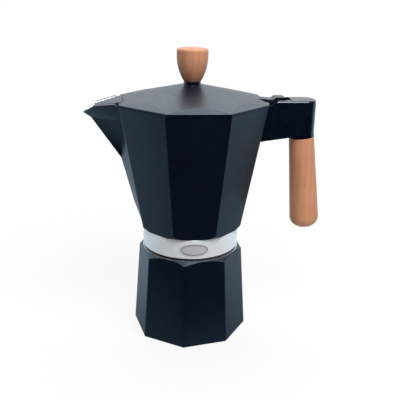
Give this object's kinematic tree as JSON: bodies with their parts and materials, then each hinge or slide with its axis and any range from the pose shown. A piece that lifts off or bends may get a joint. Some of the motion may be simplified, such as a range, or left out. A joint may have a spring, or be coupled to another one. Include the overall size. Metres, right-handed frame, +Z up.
{
  "type": "moka pot",
  "caption": "Stovetop moka pot: eight-sided black boiler and collector with bright waist band, hinged lid with wooden knob, pouring beak, and wooden grip on a black bracket.",
  "frame": {"origin": "centre of the boiler's flat bottom face, which the pot stands on", "axes": "+Z up along the pot's round axis, +X towards the handle, -X towards the spout"},
  "size_m": [0.1873, 0.1104, 0.2269],
  "materials": {
    "black_coating": "satin black coating over cast aluminium",
    "bare_aluminium": "fine turned aluminium",
    "beech_wood": "oiled beech, straight grain",
    "black_phenolic": "black heat-proof phenolic, satin",
    "white_silicone": "off-white silicone",
    "brass": "turned brass",
    "steel": "zinc-plated steel",
    "badge_metal": "plain satin oval plate"
  },
  "bodies": {
    "boiler": {"boiler": "black_coating", "valve_body": "brass", "valve_washer": "white_silicone", "valve_cap": "brass", "valve_spring": "steel"},
    "valve_plunger": {"valve_plunger": "brass"},
    "funnel": {"funnel": "bare_aluminium", "funnel_sieve": "bare_aluminium"},
    "gasket": {"gasket": "white_silicone"},
    "filter_plate": {"filter_plate": "bare_aluminium"},
    "collector": {"collector": "black_coating", "waist_band": "bare_aluminium", "badge": "badge_metal", "handle_bracket": "black_phenolic", "bracket_screw": "steel", "hinge_pin": "steel", "grip_ferrule": "black_phenolic", "handle_grip": "beech_wood", "grip_stud": "steel"},
    "lid": {"lid": "black_coating", "lid_knob": "beech_wood", "knob_collar": "black_phenolic", "knob_screw": "steel"}
  },
  "joints": [
    {"name": "valve_release", "type": "slide", "parent": "boiler", "child": "valve_plunger", "axis": [0.5417, 0.8406, 0], "range_m": [0, 0.0015], "stiffness_N_per_m": 400, "springref_m": -0.002, "deforming": ["valve_spring"]},
    {"name": "funnel_lift", "type": "slide", "parent": "boiler", "child": "funnel", "axis": [0, 0, 1], "range_m": [0, 0.09]},
    {"name": "collector_lift", "type": "slide", "parent": "funnel", "child": "gasket", "axis": [0, 0, 1], "range_m": [0, 0.1]},
    {"name": "thread_rise", "type": "slide", "parent": "gasket", "child": "filter_plate", "axis": [0, 0, 1], "range_m": [0, 0.006]},
    {"name": "collector_unscrew", "type": "hinge", "parent": "filter_plate", "child": "collector", "pos_m": [0, 0, 0.08], "axis": [0, 0, 1], "range_deg": [0, 720]},
    {"name": "lid_hinge", "type": "hinge", "parent": "collector", "child": "lid", "pos_m": [0.0665, 0, 0.184], "axis": [0, 1, 0], "range_deg": [0, 100]}
  ],
  "couplings": [
    {"joint": "thread_rise", "follows": "collector_unscrew", "m_per_rad": 0.00047746}
  ]
}
